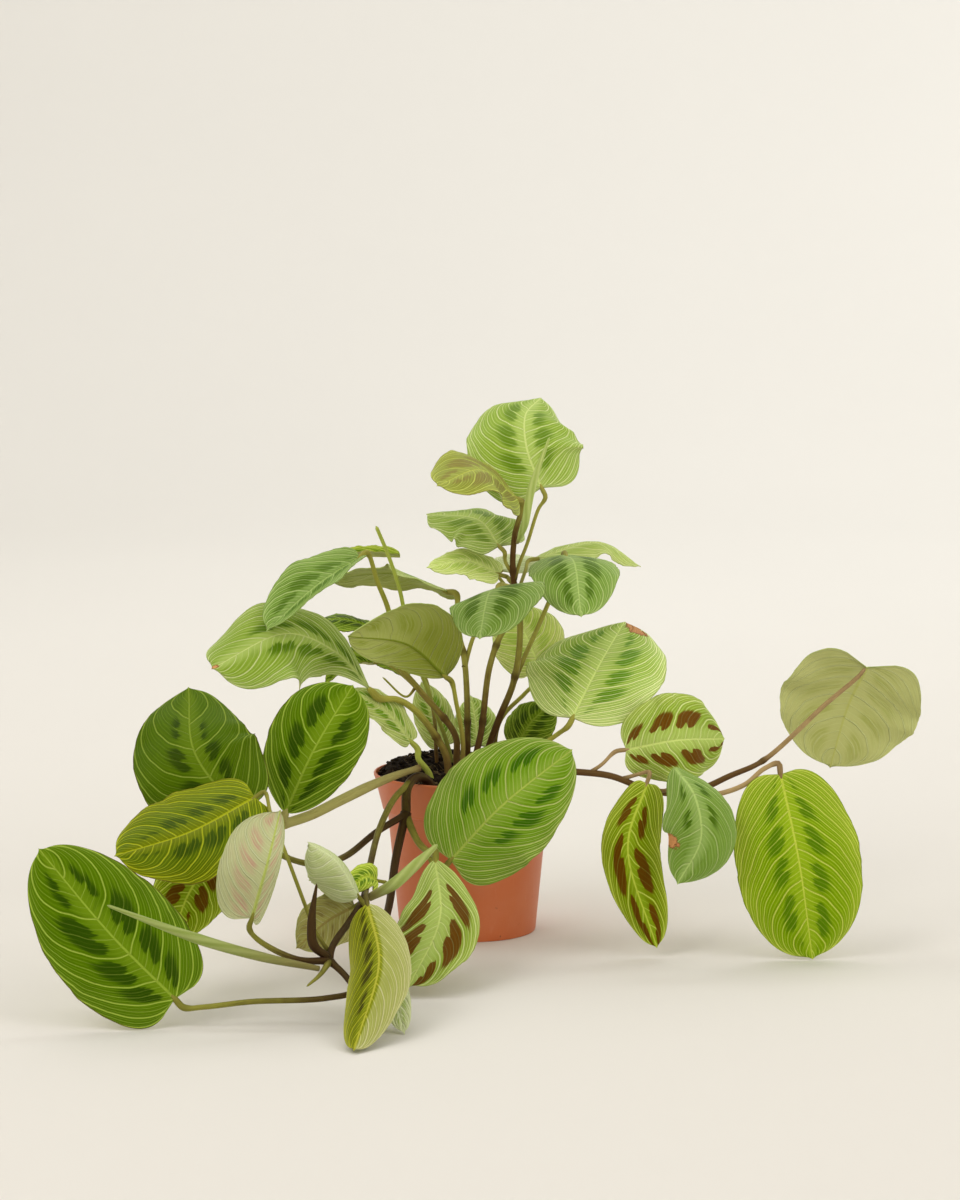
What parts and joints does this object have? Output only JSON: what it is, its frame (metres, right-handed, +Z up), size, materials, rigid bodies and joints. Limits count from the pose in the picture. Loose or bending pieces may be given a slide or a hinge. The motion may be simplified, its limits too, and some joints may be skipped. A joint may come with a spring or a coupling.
{
  "type": "potted prayer plant",
  "caption": "Prayer plant with patterned oval leaves on upright and trailing shoots, rooted in a plain tapered nursery pot.",
  "frame": {"origin": "centre of the pot's flat underside, on the surface it stands on", "axes": "+Z up through the pot's axis, -Y towards the front of the plant, +X to its right"},
  "size_m": [0.5306, 0.4133, 0.3375],
  "materials": {
    "pot": "satin moulded plastic",
    "soil": "loose moist peat",
    "stem_brown": "smooth green stem skin",
    "stem_olive": "smooth green stem skin",
    "stem_green": "smooth green stem skin",
    "stem_purple": "smooth green stem skin",
    "stem_straw": "smooth green stem skin",
    "leaf_bright": "satin leaf with pale veins",
    "leaf_fresh": "satin leaf with pale veins",
    "leaf_deep": "satin leaf with pale veins",
    "leaf_bluish": "satin leaf with pale veins",
    "leaf_lime": "satin leaf with pale veins",
    "leaf_blotched": "satin leaf with pale veins",
    "leaf_underside": "matt leaf underside",
    "leaf_pale": "thin pale young leaf"
  },
  "bodies": {
    "root": {"pot": "pot", "soil": "soil", "shoot_crown": "stem_brown", "shoot_middle": "stem_brown", "shoot_back": "stem_brown", "shoot_thin": "stem_brown", "runner_right": "stem_brown", "shoot_twisted": "stem_olive", "shoot_broad_left": "stem_olive", "shoot_underside": "stem_olive", "shoot_low_back": "stem_olive", "shoot_behind_right": "stem_olive", "shoot_big_right": "stem_olive", "shoot_rod": "stem_green", "shoot_low_left": "stem_green", "runner_left": "stem_purple", "sheath_left": "stem_straw", "leaf_crown_top": "leaf_bright", "leaf_high_left": "leaf_bright", "leaf_big_right": "leaf_bright", "leaf_low_right": "leaf_bright", "leaf_low_back": "leaf_bright", "leaf_broad_left": "leaf_bright", "leaf_big_front": "leaf_bright", "leaf_small_left": "leaf_fresh", "leaf_arched_right": "leaf_fresh", "leaf_behind_right": "leaf_fresh", "leaf_back_left": "leaf_fresh", "leaf_low_left": "leaf_fresh", "spear_crown": "leaf_fresh", "spear_left": "leaf_fresh", "sheath_front": "leaf_fresh", "leaf_twisted": "leaf_deep", "leaf_sliver": "leaf_deep", "leaf_behind_under": "leaf_deep", "leaf_curled_small": "leaf_deep", "leaf_left_upright": "leaf_deep", "leaf_left_second": "leaf_deep", "leaf_left_lowest": "leaf_deep", "leaf_middle_right": "leaf_bluish", "leaf_middle_left": "leaf_bluish", "leaf_right_hood": "leaf_bluish", "leaf_crown_left": "leaf_lime", "leaf_furled": "leaf_lime", "leaf_left_yellow": "leaf_lime", "leaf_small_top": "leaf_lime", "leaf_hanging_yellow": "leaf_lime", "leaf_right_large": "leaf_lime", "leaf_left_hidden": "leaf_blotched", "leaf_hanging_brown": "leaf_blotched", "leaf_right_blotched": "leaf_blotched", "leaf_right_hanging": "leaf_blotched", "leaf_underside": "leaf_underside", "leaf_back_edge": "leaf_underside", "leaf_translucent": "leaf_underside", "leaf_right_under": "leaf_underside", "leaf_behind_crown": "leaf_pale", "leaf_left_pink": "leaf_pale", "leaf_rolled_pale": "leaf_pale", "leaf_floor_pale": "leaf_pale"}
  },
  "joints": []
}
